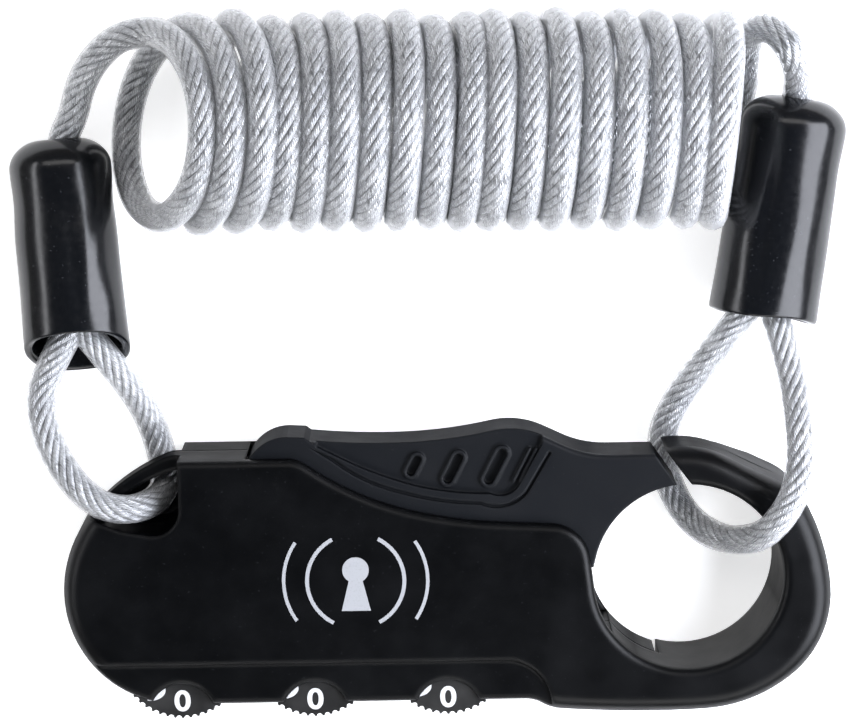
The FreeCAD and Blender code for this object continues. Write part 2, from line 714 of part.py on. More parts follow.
def build_hub_washer(number, x, y):
    """Coned disc spring between the back cover and a hub."""
    cone = doc.addObject("Part::Cone", f"washer_cone_{number}")
    cone.Radius1 = 4.0
    cone.Radius2 = 2.2
    cone.Height = 0.7
    place(cone, str(x), str(y), "1.25")
    inside = doc.addObject("Part::Cone", f"washer_inside_{number}")
    inside.Radius1 = 3.6
    inside.Radius2 = 1.65
    inside.Height = 0.75
    place(inside, str(x), str(y), "1.22")
    keep(cut_from(f"hub_washer_{number}", cone, inside))


def build_dial_detent():
    """Spring strip with a finger for each dial, its tip just off the scalloped rim."""
    body = new_body("dial_detent")
    strip_bottom = 0.0
    strip_top = 0.45
    points = [(-37.2, strip_top), (-37.2, strip_bottom)]
    for index in DIALS:
        tip_x = dial_x(index) - 2.5
        tip_y = size("dial_y") + math.sqrt(size("dial_radius") ** 2 - 2.5 ** 2) + 0.2
        points += [(tip_x - 3.0, strip_bottom), (tip_x - 0.3, tip_y), (tip_x + 0.3, tip_y),
                   (tip_x + 0.3, tip_y + 0.5), (tip_x - 2.2, strip_bottom)]
    points += [(-2.6, strip_bottom), (-2.6, strip_top)]
    add_pad(body, "strip", polygon(*points), "6.3", "9.3")


# ---------------------------------------------------------------- cable

# Closed end of each sleeve, and the point that its axis runs to at the open end.
LEFT_SLEEVE = (FreeCAD.Vector(-44.2, 51.1, 5.7), FreeCAD.Vector(-42.4, 26.0, 8.6))
RIGHT_SLEEVE = (FreeCAD.Vector(41.1, 54.6, 6.2), FreeCAD.Vector(37.0, 29.4, 7.4))
LEG_SPACING = 3.7

# Loop through the eye: down in front of the bar, through the hole and up behind it.
LEFT_LOOP = (
    (-46.4, 24.0, 9.0), (-47.0, 20.3, 9.5), (-46.0, 16.2, 10.1), (-43.8, 12.2, 10.7), (-40.9, 9.2, 10.9),
    (-37.8, 8.1, 10.4), (-34.9, 8.3, 8.5), (-33.2, 9.3, 5.7), (-33.3, 11.4, 3.2), (-33.9, 14.2, 2.9),
    (-34.8, 17.6, 3.8), (-36.2, 21.0, 5.6), (-38.4, 24.8, 7.8),
)
# Loop through the ring: up behind the nose, and down in front of the hook.
RIGHT_LOOP = (
    (33.0, 27.2, 6.6), (30.3, 23.4, 5.1), (27.4, 18.8, 3.2), (25.8, 14.6, 1.95), (25.9, 11.0, 1.95),
    (27.3, 6.9, 1.95), (29.3, 3.9, 2.6), (31.9, 2.8, 6.2), (34.6, 3.6, 11.6), (37.2, 5.6, 15.2),
    (39.9, 9.4, 15.3), (40.9, 13.8, 14.6), (40.7, 18.8, 12.4), (40.2, 24.0, 9.2),
)
# From the left sleeve up to the first turn, and from the last turn over to the right sleeve.
LEFT_LEAD = ((-42.1, 53.9, 6.7), (-41.2, 57.3, 7.9), (-39.2, 60.6, 9.6), (-36.0, 63.3, 11.6))
RIGHT_LEAD = (
    (31.2, 54.4, 3.3), (34.3, 57.2, 4.2), (36.0, 60.6, 6.8), (37.2, 62.9, 9.6), (38.7, 62.8, 12.0),
    (39.9, 59.6, 11.9), (40.4, 56.8, 9.0),
)


def sleeve_frame(ends):
    """Placement whose Z runs down the sleeve, X across it and Y up from the surface."""
    start, end = ends
    along = FreeCAD.Vector(end - start).normalize()
    across = FreeCAD.Vector(0, 0, 1).cross(along).normalize()
    return FreeCAD.Placement(start, FreeCAD.Rotation(across, along.cross(across), along, "ZXY"))


def build_sleeve(side, ends):
    frame = sleeve_frame(ends)
    sleeve = new_body(f"{side}_sleeve")
    sleeve.Placement = frame
    width = size("sleeve_width")
    depth = size("sleeve_depth")
    wall = size("sleeve_wall")
    length = cell("sleeve_length")
    add_pad(sleeve, "outside", ellipse(width, depth), "0", length)
    add_fillet(sleeve, "closed_end", "3.2", lambda edge: flat_at(edge, 0.0))
    add_pocket(sleeve, "inside", ellipse(width - 2 * wall, depth - 2 * wall), "2.6", length)
    add_pocket(sleeve, "cable_hole", circle(0, 0, 0.5 * size("cable") + 0.1), "0", "2.6")
    ferrule = new_body(f"{side}_ferrule")
    ferrule.Placement = frame
    start = cell("ferrule_start")
    add_pad(ferrule, "crimp", ellipse(size("ferrule_width"), size("ferrule_depth")), start,
            f"{start} + {cell('ferrule_length')}")
    add_fillet(ferrule, "edges", "0.6", lambda edge: True)


def in_sleeve(ends, across, along):
    """Point inside a sleeve, in the lock's frame."""
    return tuple(sleeve_frame(ends).multVec(FreeCAD.Vector(across, 0, along)))


def tube_path(points):
    """Straight runs joined by tangent arcs, each as large as its two runs allow."""
    corners = [FreeCAD.Vector(*point) for point in points]
    edges = []
    radii = []
    here = corners[0]
    for before, corner, after in zip(corners, corners[1:], corners[2:]):
        come = FreeCAD.Vector(corner - before).normalize()
        leave = FreeCAD.Vector(after - corner).normalize()
        half_turn = 0.5 * come.getAngle(leave)
        trim = 0.45 * min((corner - before).Length, (after - corner).Length)
        radius = trim / math.tan(half_turn)
        radii.append(radius)
        start = corner - come * trim
        end = corner + leave * trim
        inward = FreeCAD.Vector(leave - come).normalize()
        middle = corner + inward * (radius / math.cos(half_turn) - radius)
        edges.append(Part.LineSegment(here, start).toShape())
        edges.append(Part.Arc(start, middle, end).toShape())
        here = end
    edges.append(Part.LineSegment(here, corners[-1]).toShape())
    return Part.Wire(edges), radii


def build_tube(label, points):
    """Plain round tube along a route, with its volume checked against its length."""
    path, radii = tube_path(points)
    radius = 0.5 * size("cable")
    first = path.Edges[0]
    heading = first.tangentAt(first.FirstParameter)
    profile = Part.Wire([Part.makeCircle(radius, first.Vertexes[0].Point, heading)])
    solid = path.makePipeShell([profile], True, False)
    expected = math.pi * radius ** 2 * path.Length
    if abs(solid.Volume - expected) > 0.02 * expected:
        raise RuntimeError(f"{label} has volume {solid.Volume:.1f}, not {expected:.1f}")
    item = doc.addObject("Part::Feature", label)
    item.Shape = solid
    item.Label = label
    keep(item)
    print(f"{label}: {path.Length:.1f} mm long, radii", ", ".join(f"{radius:.1f}" for radius in radii))


def build_cable():
    coil = doc.addObject("Part::Cylinder", "cable_coil")
    coil.setExpression("Radius", cell("coil_radius"))
    coil.setExpression("Height", f"{cell('coil_end')} - ({cell('coil_start')})")
    coil.Placement.Rotation = FreeCAD.Rotation(FreeCAD.Vector(0, 1, 0), 90.0)
    keep(place(coil, cell("coil_start"), cell("coil_y"), cell("coil_z")))
    top = size("ferrule_start")
    bottom = top + size("ferrule_length")
    half = 0.5 * LEG_SPACING
    left_entry = in_sleeve(LEFT_SLEEVE, 0.0, top)
    right_entry = in_sleeve(RIGHT_SLEEVE, 0.0, top)
    build_tube("left_lead", (left_entry, in_sleeve(LEFT_SLEEVE, 0.2, 0.5), *LEFT_LEAD))
    build_tube("right_lead", (*RIGHT_LEAD, in_sleeve(RIGHT_SLEEVE, 0.0, 0.5), right_entry))
    build_tube("left_loop", (
        in_sleeve(LEFT_SLEEVE, half, bottom), in_sleeve(LEFT_SLEEVE, half + 0.2, bottom + 4.0), *LEFT_LOOP,
        in_sleeve(LEFT_SLEEVE, -half - 0.2, bottom + 4.0), in_sleeve(LEFT_SLEEVE, -half, bottom)))
    build_tube("right_loop", (
        in_sleeve(RIGHT_SLEEVE, half, bottom), in_sleeve(RIGHT_SLEEVE, half + 0.2, bottom + 4.0),
        *RIGHT_LOOP, in_sleeve(RIGHT_SLEEVE, -half - 0.2, bottom + 4.0),
        in_sleeve(RIGHT_SLEEVE, -half, bottom)))


# ---------------------------------------------------------------- building and writing

def check_and_write():
    """Stop on any failed object or bad shape, then write one STEP file for each piece."""
    doc.recompute()
    for item in doc.Objects:
        if "Invalid" in item.State or "Error" in item.State:
            raise RuntimeError(f"{item.Name} failed: {item.State}")
    os.makedirs("parts", exist_ok=True)
    for item in pieces:
        if item.Shape.isNull() or not item.Shape.isValid() or not item.Shape.Solids:
            raise RuntimeError(f"{item.Label} has a bad shape")
        item.Shape.exportStep(f"parts/{item.Label}.step")
        print(f"{item.Label}: {len(item.Shape.Solids)} solid(s), {item.Shape.Volume:.1f} mm3")


build_front_housing()
build_back_cover()
build_cover_screws()
build_gate()
build_gate_fittings()
build_locking_bar()
build_dials()
build_code_hubs()
build_dial_detent()
build_sleeve("left", LEFT_SLEEVE)
build_sleeve("right", RIGHT_SLEEVE)
build_cable()
check_and_write()
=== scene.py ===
"""Visual model of a cable lock: a three-dial lock with a carabiner ring and a coiled steel cable.

The CAD pieces of the lock keep their shapes and get materials here. The cable, its twisted strands, its
vinyl sleeves, the printed numbers and the printed mark are built here. Routes and sizes are in millimetres
in the frame's axes where they aren't multiplied by MM, and MM turns them into metres.
"""
import math

import bmesh
import bpy
from mathutils import Matrix, Vector, noise


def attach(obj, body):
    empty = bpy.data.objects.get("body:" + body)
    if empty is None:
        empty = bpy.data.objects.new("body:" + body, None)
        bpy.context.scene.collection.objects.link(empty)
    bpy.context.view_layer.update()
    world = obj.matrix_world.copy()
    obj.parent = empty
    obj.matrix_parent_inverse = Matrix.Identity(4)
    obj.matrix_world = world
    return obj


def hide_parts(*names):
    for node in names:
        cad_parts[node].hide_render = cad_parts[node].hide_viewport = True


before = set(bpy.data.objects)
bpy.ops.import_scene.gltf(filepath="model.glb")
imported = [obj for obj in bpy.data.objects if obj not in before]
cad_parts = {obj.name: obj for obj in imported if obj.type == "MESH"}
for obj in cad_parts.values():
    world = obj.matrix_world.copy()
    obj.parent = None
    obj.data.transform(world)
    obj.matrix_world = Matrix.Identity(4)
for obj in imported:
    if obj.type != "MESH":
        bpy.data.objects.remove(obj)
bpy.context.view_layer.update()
MM = 0.001
CIRCLE = 2.0 * math.pi


def millimetres(*numbers):
    """A point given in millimetres, in metres."""
    return Vector(numbers) * MM


def add_object(name, data):
    item = bpy.data.objects.new(name, data)
    bpy.context.scene.collection.objects.link(item)
    return item


def add_mesh(name, form, material):
    """A new object from a bmesh, which is freed."""
    mesh = bpy.data.meshes.new(name)
    form.to_mesh(mesh)
    form.free()
    mesh.materials.append(material)
    return add_object(name, mesh)


# ---------------------------------------------------------------- camera, light and floor

TARGET = millimetres(-1.874, 25.522, 12.0)
CAMERA_DISTANCE = 310.0 * MM
CAMERA_TILT = math.radians(10.6)
CAMERA_ROLL = math.radians(0.9)
CAMERA_LENS = 113.566
SENSOR_WIDTH = 36.0
# Height and colour at each end of the world's glow, and its strength.
WORLD_STOPS = ((0.15, (0.42, 0.41, 0.40, 1.0)), (0.85, (0.13, 0.14, 0.165, 1.0)))
WORLD_STRENGTH = 0.6
# Name, place in metres, width and height in metres, watts and colour of each soft light.
LIGHTS = (
    ("left_light", (-0.52, 0.04, 0.36), 0.60, 0.09, 1.05, (0.95, 0.96, 1.0)),
    ("right_light", (0.23, 0.0, 0.19), 0.34, 0.20, 2.0, (0.88, 0.91, 1.0)),
    ("top_light", (0.0, 0.38, 0.62), 0.90, 0.20, 1.3, (1.0, 0.98, 0.97)),
    ("front_light", (0.05, -0.56, 0.48), 0.80, 0.25, 2.2, (1.0, 1.0, 1.0)),
)
# The floor is this many metres across and lies just under the lock.
FLOOR_SIZE = 6.0
FLOOR_SQUARES = 4
FLOOR_DROP = 0.02 * MM
FLOOR_PAPER = {
    "Base Color": (0.93, 0.93, 0.935, 1.0),
    "Roughness": 0.9,
    "Specular IOR Level": 0.1,
    "Emission Color": (1.0, 1.0, 1.0, 1.0),
    "Emission Strength": 0.62,
}


def make_camera():
    """A long lens a little to the coil's side of straight above the lock, rolled slightly."""
    back = Vector((0.0, math.sin(CAMERA_TILT), math.cos(CAMERA_TILT)))
    level_right = Vector((1.0, 0.0, 0.0))
    level_up = back.cross(level_right)
    right = level_right * math.cos(CAMERA_ROLL) - level_up * math.sin(CAMERA_ROLL)
    up = level_right * math.sin(CAMERA_ROLL) + level_up * math.cos(CAMERA_ROLL)
    data = bpy.data.cameras.new("camera")
    data.lens = CAMERA_LENS
    data.sensor_width = SENSOR_WIDTH
    camera = add_object("camera", data)
    facing = Matrix((right, up, back)).transposed().to_4x4()
    camera.matrix_world = Matrix.Translation(TARGET + back * CAMERA_DISTANCE) @ facing
    bpy.context.scene.camera = camera


def make_lights():
    """Soft rectangular lights that all face the camera's target."""
    for name, place, width, height, watts, colour in LIGHTS:
        data = bpy.data.lights.new(name, "AREA")
        data.shape = "RECTANGLE"
        data.size = width
        data.size_y = height
        data.energy = watts
        data.color = colour
        light = add_object(name, data)
        light.location = place
        aim = TARGET - Vector(place)
        light.rotation_euler = aim.to_track_quat("-Z", "Y").to_euler()


def make_world():
    """Pale near the horizon and dimmer overhead, as under studio lights."""
    world = bpy.data.worlds.new("studio")
    bpy.context.scene.world = world
    world.use_nodes = True
    tree = world.node_tree
    tree.nodes.clear()
    place = tree.nodes.new("ShaderNodeTexCoord")
    split = tree.nodes.new("ShaderNodeSeparateXYZ")
    ramp = tree.nodes.new("ShaderNodeValToRGB")
    glow = tree.nodes.new("ShaderNodeBackground")
    out = tree.nodes.new("ShaderNodeOutputWorld")
    for stop, (height, colour) in zip(ramp.color_ramp.elements, WORLD_STOPS):
        stop.position = height
        stop.color = colour
    glow.inputs["Strength"].default_value = WORLD_STRENGTH
    tree.links.new(place.outputs["Generated"], split.inputs[0])
    tree.links.new(split.outputs["Z"], ramp.inputs["Fac"])
    tree.links.new(ramp.outputs["Color"], glow.inputs["Color"])
    tree.links.new(glow.outputs[0], out.inputs["Surface"])


def make_floor():
    """Pale paper with a plain glow, so that it stays near white."""
    paper = bpy.data.materials.new("pale_paper")
    paper.use_nodes = True
    shader = paper.node_tree.nodes["Principled BSDF"]
    for name, value in FLOOR_PAPER.items():
        shader.inputs[name].default_value = value
    form = bmesh.new()
    bmesh.ops.create_grid(form, x_segments=FLOOR_SQUARES, y_segments=FLOOR_SQUARES, size=0.5 * FLOOR_SIZE)
    floor = add_mesh("floor", form, paper)
    floor.location.z = -FLOOR_DROP


# ---------------------------------------------------------------- material helpers

# Places of the colour sockets of a Mix node, whose names are shared with its other sockets.
MIX_FIRST = 6
MIX_SECOND = 7
MIX_RESULT = 2
BEVEL_SAMPLES = 6
# Gloss of the paint, the facing values between which it fades, and the share of it that is left.
PAINT_GLOSS = 0.23
GLANCING_VIEW = (0.45, 0.80)
GLANCING_SHARE = 0.03
EVEN_BLEND = 0.5


class Finish:
    """A material with one Principled shader and short calls for the nodes in front of it."""

    def __init__(self, name):
        self.material = bpy.data.materials.new(name)
        self.material.use_nodes = True
        self.tree = self.material.node_tree
        self.shader = self.tree.nodes["Principled BSDF"]
        self.place = self.tree.nodes.new("ShaderNodeTexCoord").outputs["Object"]

    def set(self, **values):
        """Plain values on the shader's sockets, with an underscore for each space in a socket's name."""
        for name, value in values.items():
            self.shader.inputs[name.replace("_", " ")].default_value = value

    def link(self, source, name):
        self.tree.links.new(source, self.shader.inputs[name])

    def feed(self, source, socket):
        """Links another node's output to a socket, or gives the socket a plain value."""
        if isinstance(source, bpy.types.NodeSocket):
            self.tree.links.new(source, socket)
        else:
            socket.default_value = source

    def node(self, kind, *feeds, **settings):
        """A new node. Each feed is an output or a value, and the socket that takes it."""
        made = self.tree.nodes.new(kind)
        for name, value in settings.items():
            setattr(made, name, value)
        for source, name in feeds:
            self.feed(source, made.inputs[name])
        return made

    def noise(self, scale, detail=3.0, rough=0.5, place=None):
        """Noise whose spots are about 1/scale metres across."""
        source = place or self.place
        made = self.node("ShaderNodeTexNoise", (source, "Vector"), (scale, "Scale"), (detail, "Detail"),
                         (rough, "Roughness"))
        return made.outputs["Fac"]

    def stretch(self, scales):
        made = self.node("ShaderNodeMapping", (self.place, "Vector"), (scales, "Scale"))
        return made.outputs["Vector"]

    def math(self, operation, first, second=0.0, clamp=False):
        made = self.node("ShaderNodeMath", (first, 0), (second, 1), operation=operation, use_clamp=clamp)
        return made.outputs[0]

    def span(self, value, old, new):
        """Value moved from an old range to a new one and held inside it."""
        made = self.node("ShaderNodeMapRange", (value, "Value"), (old[0], "From Min"), (old[1], "From Max"),
                         (new[0], "To Min"), (new[1], "To Max"))
        return made.outputs["Result"]

    def blend(self, amount, first, second):
        made = self.node("ShaderNodeMix", data_type="RGBA")
        self.feed(amount, made.inputs["Factor"])
        self.feed(first, made.inputs[MIX_FIRST])
        self.feed(second, made.inputs[MIX_SECOND])
        return made.outputs[MIX_RESULT]

    def soft_edges(self, radius):
        """Normals that run round sharp edges, as thick paint does."""
        made = self.node("ShaderNodeBevel", (radius, "Radius"), samples=BEVEL_SAMPLES)
        return made.outputs["Normal"]

    def satin(self, level):
        """Gloss that fades at a glancing view, where a satin paint's fine grain shades itself."""
        facing = self.node("ShaderNodeLayerWeight", (EVEN_BLEND, "Blend")).outputs["Facing"]
        self.set(Specular_IOR_Level=level)
        self.link(self.span(facing, GLANCING_VIEW, (level, GLANCING_SHARE * level)), "Specular IOR Level")

    def bump(self, height, depth, strength, before=None):
        """Relief that is depth metres high, on top of the relief before it."""
        made = self.node("ShaderNodeBump", (height, "Height"), (depth, "Distance"), (strength, "Strength"))
        if before is not None:
            self.tree.links.new(before, made.inputs["Normal"])
        return made.outputs["Normal"]


def shade(value, tint=0.0):
    """A grey that is neutral, or slightly blue for a positive tint."""
    return (value * (1.0 - tint), value, value * (1.0 + 2.0 * tint), 1.0)


def painted_metal(name, colour, roughness, edge):
    """Satin black paint: fine orange peel, small dust specks and slightly polished patches."""
    finish = Finish(name)
    grain = finish.noise(scale=5200.0, detail=2.0)
    peel = finish.noise(scale=900.0, detail=2.0)
    dust = finish.noise(scale=2600.0, detail=1.0)
    smudge = finish.noise(scale=130.0, detail=4.0, rough=0.6)
    dust_grey = shade(0.02, tint=0.06)
    smudge_grey = shade(0.004, tint=0.2)
    dusty = finish.blend(finish.span(dust, (0.72, 0.80), (0.0, 0.55)), colour, dust_grey)
    smudged = finish.blend(finish.span(smudge, (0.35, 0.7), (0.0, 0.3)), dusty, smudge_grey)
    finish.link(smudged, "Base Color")
    finish.link(finish.span(smudge, (0.3, 0.7), (roughness - 0.05, roughness + 0.06)), "Roughness")
    relief = finish.bump(peel, depth=0.012 * MM, strength=0.5, before=finish.soft_edges(edge * MM))
    finish.link(finish.bump(grain, depth=0.008 * MM, strength=0.7, before=relief), "Normal")
    finish.satin(PAINT_GLOSS)
    return finish.material


def moulded_plastic(name, colour, roughness, grain_depth):
    """Dark moulded plastic with a fine spark-eroded grain and paler worn patches."""
    finish = Finish(name)
    grain = finish.noise(scale=3600.0)
    patch = finish.noise(scale=350.0)
    tone_shift = finish.blend(finish.span(patch, (0.35, 0.7), (0.0, 0.25)), colour, shade(0.05))
    finish.link(tone_shift, "Base Color")
    finish.link(finish.span(patch, (0.3, 0.7), (roughness - 0.07, roughness + 0.07)), "Roughness")
    edges = finish.soft_edges(0.15 * MM)
    finish.link(finish.bump(grain, depth=grain_depth * MM, strength=0.8, before=edges), "Normal")
    return finish.material


def bare_metal(name, colour, roughness):
    """Turned or cut metal with fine directional scratches."""
    finish = Finish(name)
    scratches = finish.noise(scale=1.0, rough=0.6, place=finish.stretch((900.0, 900.0, 9000.0)))
    stain = finish.noise(scale=420.0)
    stained = finish.blend(finish.span(stain, (0.4, 0.75), (0.0, 0.3)), colour, shade(0.2))
    finish.link(stained, "Base Color")
    finish.link(finish.span(scratches, (0.3, 0.7), (roughness - 0.08, roughness + 0.1)), "Roughness")
    finish.link(finish.bump(scratches, depth=0.006 * MM, strength=0.6), "Normal")
    finish.set(Metallic=1.0)
    return finish.material


def natural_plastic(name, colour):
    """Uncoloured plastic that lets a little light in."""
    finish = Finish(name)
    patch = finish.noise(scale=500.0)
    grain = finish.noise(scale=3000.0)
    dulled = finish.blend(finish.span(patch, (0.3, 0.7), (0.0, 0.5)), colour, shade(0.55))
    finish.link(dulled, "Base Color")
    finish.link(finish.bump(grain, depth=0.006 * MM, strength=0.5), "Normal")
    finish.set(Roughness=0.42, Subsurface_Weight=0.1, Subsurface_Radius=(MM, MM, MM))
    return finish.material


def sleeve_vinyl(name):
    """Glossy dipped vinyl: long soft waves, a fine skin and pale dust."""
    finish = Finish(name)
    waves = finish.noise(scale=150.0, detail=2.0)
    skin = finish.noise(scale=1500.0)
    dust = finish.noise(scale=3200.0, detail=1.0)
    vinyl_black = shade(0.004, tint=0.16)
    dust_grey = shade(0.12, tint=0.05)
    dusty = finish.blend(finish.span(dust, (0.72, 0.78), (0.0, 0.35)), vinyl_black, dust_grey)
    finish.link(dusty, "Base Color")
    finish.link(finish.span(skin, (0.3, 0.7), (0.17, 0.25)), "Roughness")
    relief = finish.bump(waves, depth=0.10 * MM, strength=0.35)
    finish.link(finish.bump(skin, depth=0.006 * MM, strength=0.5, before=relief), "Normal")
    finish.set(Specular_IOR_Level=0.45)
    return finish.material


def printed_paint(name, colour):
    """Pad-printed paint, a little thin and grainy."""
    finish = Finish(name)
    grain = finish.noise(scale=5000.0, detail=2.0)
    thinned = finish.blend(finish.span(grain, (0.55, 0.75), (0.0, 0.35)), colour, shade(0.25))
    finish.link(thinned, "Base Color")
    finish.link(finish.bump(grain, depth=0.01 * MM, strength=0.6), "Normal")
    finish.set(Roughness=0.6)
    return finish.material


# Wires in a strand, how far along the cable each wire takes to go once round, and streaks per metre.
WIRES = 11
WIRE_LAY = 3.0 * MM
STREAKS_ALONG = 560.0


def steel_strands(name):
    """Bright zinc-plated wires, laid back so that they run along the cable, with painted shade between the
    wires and along dark streaks.
    """
    finish = Finish(name)
    lay = finish.node("ShaderNodeUVMap", uv_map="lay").outputs["UV"]
    split = finish.node("ShaderNodeSeparateXYZ", (lay, 0))
    round_strand = finish.math("MULTIPLY", split.outputs["X"], float(WIRES))
    along = finish.math("MULTIPLY", split.outputs["Y"], WIRES / WIRE_LAY)
    wire_number = finish.math("ADD", round_strand, along)
    wave = finish.math("SINE", finish.math("MULTIPLY", wire_number, CIRCLE))
    wire = finish.span(wave, (-1.0, 1.0), (0.0, 1.0))
    streaks_along = finish.math("MULTIPLY", split.outputs["Y"], STREAKS_ALONG)
    dash = finish.node("ShaderNodeCombineXYZ", (wire_number, 0), (streaks_along, 1)).outputs[0]
    streaks = finish.noise(scale=1.3, detail=2.0, place=dash)
    patches = finish.noise(scale=420.0, detail=2.0)
    # Painted shade: the colour darkens to a grey between the wires and along dark streaks on them.
    gap_shade = finish.span(wire, (0.0, 0.30), (0.8, 0.0))
    shadow = finish.span(streaks, (0.36, 0.50), (0.85, 0.0))
    tone_shift = finish.math("MAXIMUM", finish.math("MULTIPLY", gap_shade, 0.55), shadow)
    dull_steel = shade(0.72, tint=0.015)
    clean_steel = shade(0.93, tint=0.008)
    # Grey of the painted shade between and along the wires.
    painted_shade_grey = shade(0.12, tint=0.01)
    bright = finish.blend(finish.span(patches, (0.35, 0.65), (0.0, 1.0)), dull_steel, clean_steel)
    finish.link(finish.blend(tone_shift, bright, painted_shade_grey), "Base Color")
    finish.link(finish.span(streaks, (0.35, 0.65), (0.42, 0.14)), "Roughness")
    relief = finish.bump(wire, depth=0.06 * MM, strength=1.0)
    finish.link(finish.bump(streaks, depth=0.05 * MM, strength=0.9, before=relief), "Normal")
    finish.set(Metallic=0.45)
    return finish.material


def clear_vinyl(name):
    """Clear cover: see-through from the front, glossy and slightly milky towards its edges."""
    finish = Finish(name)
    facing = finish.node("ShaderNodeLayerWeight", (EVEN_BLEND, "Blend")).outputs["Facing"]
    haze = finish.noise(scale=700.0)
    ripple = finish.noise(scale=600.0, detail=2.0)
    thick = finish.span(finish.math("POWER", facing, 2.2), (0.0, 1.0), (0.03, 0.75))
    milk = finish.span(haze, (0.5, 0.75), (0.0, 0.04))
    cloud = finish.math("ADD", thick, milk, clamp=True)
    grey = shade(0.84, tint=0.01)
    pale = shade(0.93, tint=0.01)
    finish.link(finish.blend(finish.span(haze, (0.35, 0.7), (0.0, 1.0)), grey, pale), "Base Color")
    finish.link(finish.bump(ripple, depth=0.03 * MM, strength=0.5), "Normal")
    finish.set(Roughness=0.16, Specular_IOR_Level=0.55)
    clear = finish.node("ShaderNodeBsdfTransparent", ((0.965, 0.97, 0.975, 1.0), "Color")).outputs[0]
    body = finish.node("ShaderNodeMixShader", (cloud, 0), (clear, 1), (finish.shader.outputs[0], 2))
    film = finish.node("ShaderNodeFresnel", (1.45, "IOR")).outputs[0]
    film_share = finish.span(film, (0.0, 1.0), (0.01, 0.3))
    shine = finish.node("ShaderNodeBsdfGlossy", (0.12, "Roughness")).outputs[0]
    skin = finish.node("ShaderNodeMixShader", (film_share, 0), (body.outputs[0], 1), (shine, 2))
    finish.feed(skin.outputs[0], finish.tree.nodes["Material Output"].inputs["Surface"])
    return finish.material


CASE_PAINT = painted_metal("case_paint", shade(0.0010, tint=0.2), roughness=0.33, edge=0.8)
GATE_PAINT = painted_metal("gate_paint", shade(0.0065, tint=0.16), roughness=0.42, edge=0.4)
DIAL_PLASTIC = moulded_plastic("dial_plastic", shade(0.008), roughness=0.46, grain_depth=0.02)
STEEL = bare_metal("cut_steel", shade(0.55), roughness=0.34)
BRASS = bare_metal("turned_brass", (0.72, 0.55, 0.30, 1.0), roughness=0.32)
ACETAL = natural_plastic("acetal", (0.78, 0.78, 0.74, 1.0))
VINYL = sleeve_vinyl("dipped_vinyl")
WHITE_PRINT = printed_paint("white_print", shade(0.80, tint=0.01))
SILVER_PRINT = printed_paint("silver_print", shade(0.42, tint=0.03))
STRAND_STEEL = steel_strands("plated_wires")
CLEAR_COVER = clear_vinyl("clear_cover")

# Every CAD piece that isn't named here is steel.
NODE_FINISHES = {
    "front_housing": CASE_PAINT,
    "back_cover": CASE_PAINT,
    "gate": GATE_PAINT,
    "cover_screws": BRASS,
    "dial_1": DIAL_PLASTIC,
    "dial_2": DIAL_PLASTIC,
    "dial_3": DIAL_PLASTIC,
    "code_hub_1": ACETAL,
    "code_hub_2": ACETAL,
    "code_hub_3": ACETAL,
}


def finish_cad_nodes():
    for name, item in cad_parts.items():
        item.data.materials.clear()
        item.data.materials.append(NODE_FINISHES.get(name, STEEL))


# ---------------------------------------------------------------- cable routes

# Thickness of the cable over its cover.
CABLE = 3.5
# Each sleeve's closed end and open end.
LEFT_SLEEVE = ((-44.2, 51.1, 5.7), (-42.4, 26.0, 8.6))
RIGHT_SLEEVE = ((41.1, 54.6, 6.2), (37.0, 29.4, 7.4))
# Inside a sleeve, how far from its closed end the lead comes in and the ferrule starts and ends. The left
# lead comes in a little to one side.
LEAD_ENTRY = 0.5
FERRULE_START = 4.0
FERRULE_END = 14.0
LEFT_LEAD_SHIFT = 0.2
# A loop's two legs leave the ferrule side by side and spread a little over their first part.
LEG_SPACING = 3.7
LEG_SPREAD = 0.2
LEG_START = 4.0
LEFT_LOOP = (
    (-46.4, 24.0, 9.0), (-47.0, 20.3, 9.5), (-46.0, 16.2, 10.1), (-43.8, 12.2, 10.7), (-40.9, 9.2, 10.9),
    (-37.8, 8.1, 10.4), (-34.9, 8.3, 8.5), (-33.2, 9.3, 5.7), (-33.3, 11.4, 3.2), (-33.9, 14.2, 2.9),
    (-34.8, 17.6, 3.8), (-36.2, 21.0, 5.6), (-38.4, 24.8, 7.8),
)
RIGHT_LOOP = (
    (33.0, 27.2, 6.6), (30.3, 23.4, 5.1), (27.4, 18.8, 3.2), (25.8, 14.6, 1.95), (25.9, 11.0, 1.95),
    (27.3, 6.9, 1.95), (29.3, 3.9, 2.6), (31.9, 2.8, 6.2), (34.6, 3.6, 11.6), (37.2, 5.6, 15.2),
    (39.9, 9.4, 15.3), (40.9, 13.8, 14.6), (40.7, 18.8, 12.4), (40.2, 24.0, 9.2),
)
LEFT_LEAD = ((-42.1, 53.9, 6.7), (-41.2, 57.3, 7.9), (-39.2, 60.6, 9.6), (-36.0, 63.3, 11.6))
RIGHT_LEAD = (
    (35.4, 56.4, 2.2), (35.4, 59.3, 3.3), (35.6, 61.9, 5.5), (36.5, 63.1, 8.4), (37.9, 62.7, 11.2),
    (39.3, 61.0, 12.2), (40.3, 59.0, 10.9), (40.9, 57.0, 8.5),
)
# The coil's centreline, which never goes below the resting height.
COIL_Z = 12.55
COIL_RADIUS = 10.9
COIL_Y_LEFT = 53.4
COIL_Y_RIGHT = 52.9
RESTING_HEIGHT = 1.85
POINTS_PER_TURN = 24
# X of each turn's far side, where y is greatest, and how much larger or smaller than the rest it is.
TURN_FAR_SIDES = (
    -32.3, -27.5, -23.15, -18.9, -15.0, -11.45, -7.9, -4.2, -0.7, 3.15, 6.05, 9.6, 13.1, 16.8, 20.4, 24.2,
    27.7, 32.1, 37.6,
)
TURN_SIZES = (
    -0.47, -0.05, 0.47, -0.35, -0.05, 0.2, -0.15, 0.28, -0.3, -0.05, 0.2, -0.1, 0.34, -0.12, 0.17, 0.1,
    -0.3, 0.0,
)
